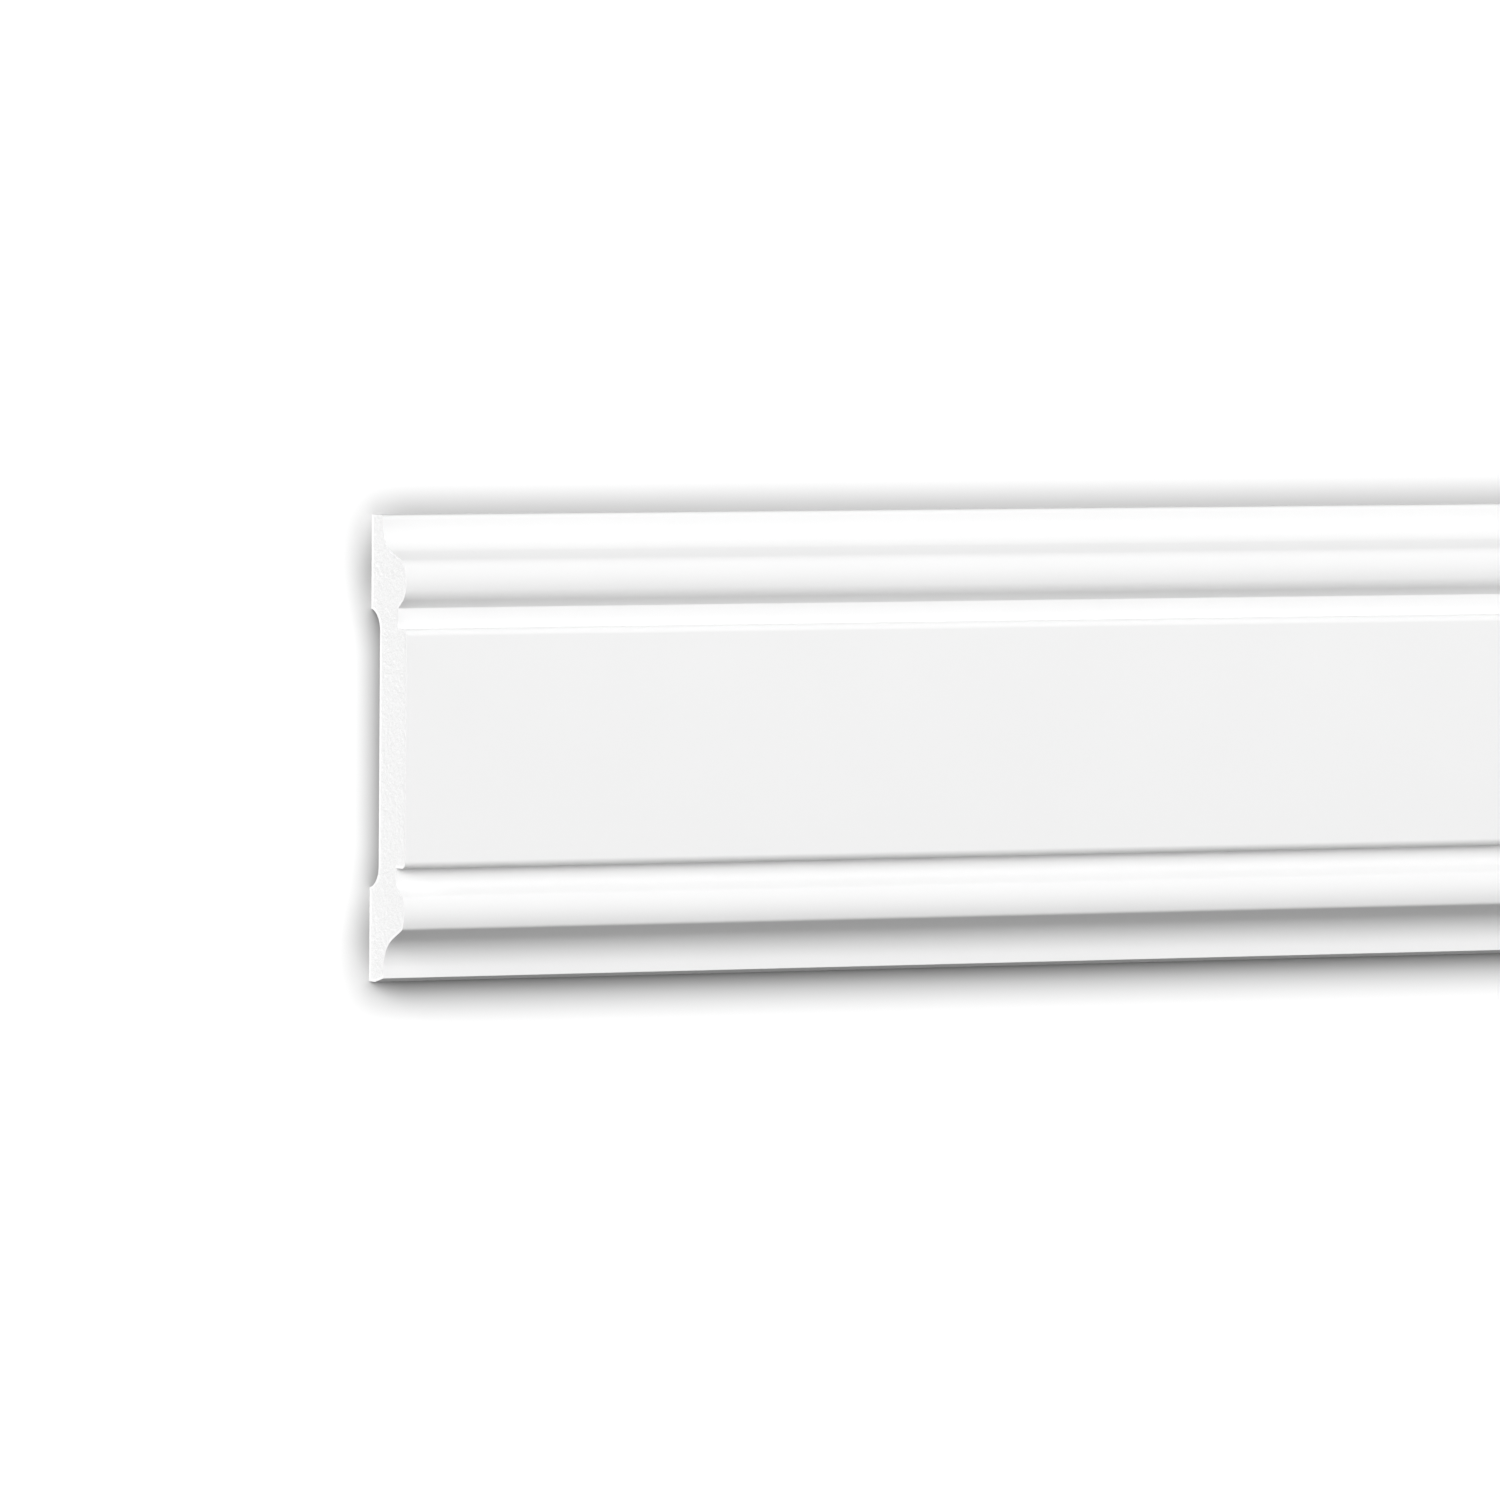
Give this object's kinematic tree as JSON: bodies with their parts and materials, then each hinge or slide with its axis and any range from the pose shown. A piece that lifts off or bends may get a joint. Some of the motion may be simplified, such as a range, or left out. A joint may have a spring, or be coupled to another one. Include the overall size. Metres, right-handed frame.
{
  "type": "dado rail",
  "caption": "Straight wall moulding with a flat field between a beaded and coved upper and lower edge, recessed along its back.",
  "frame": {"origin": "middle of the footprint, on the plane of the two glue bands", "axes": "+X along the rail's length, +Y towards the edge that is uppermost on a wall, +Z out of the wall"},
  "size_m": [2, 0.14, 0.022],
  "materials": {
    "primed_foam": "white factory primer on moulded rigid foam, satin to matt"
  },
  "bodies": {
    "root": {"dado_rail": "primed_foam"}
  },
  "joints": []
}
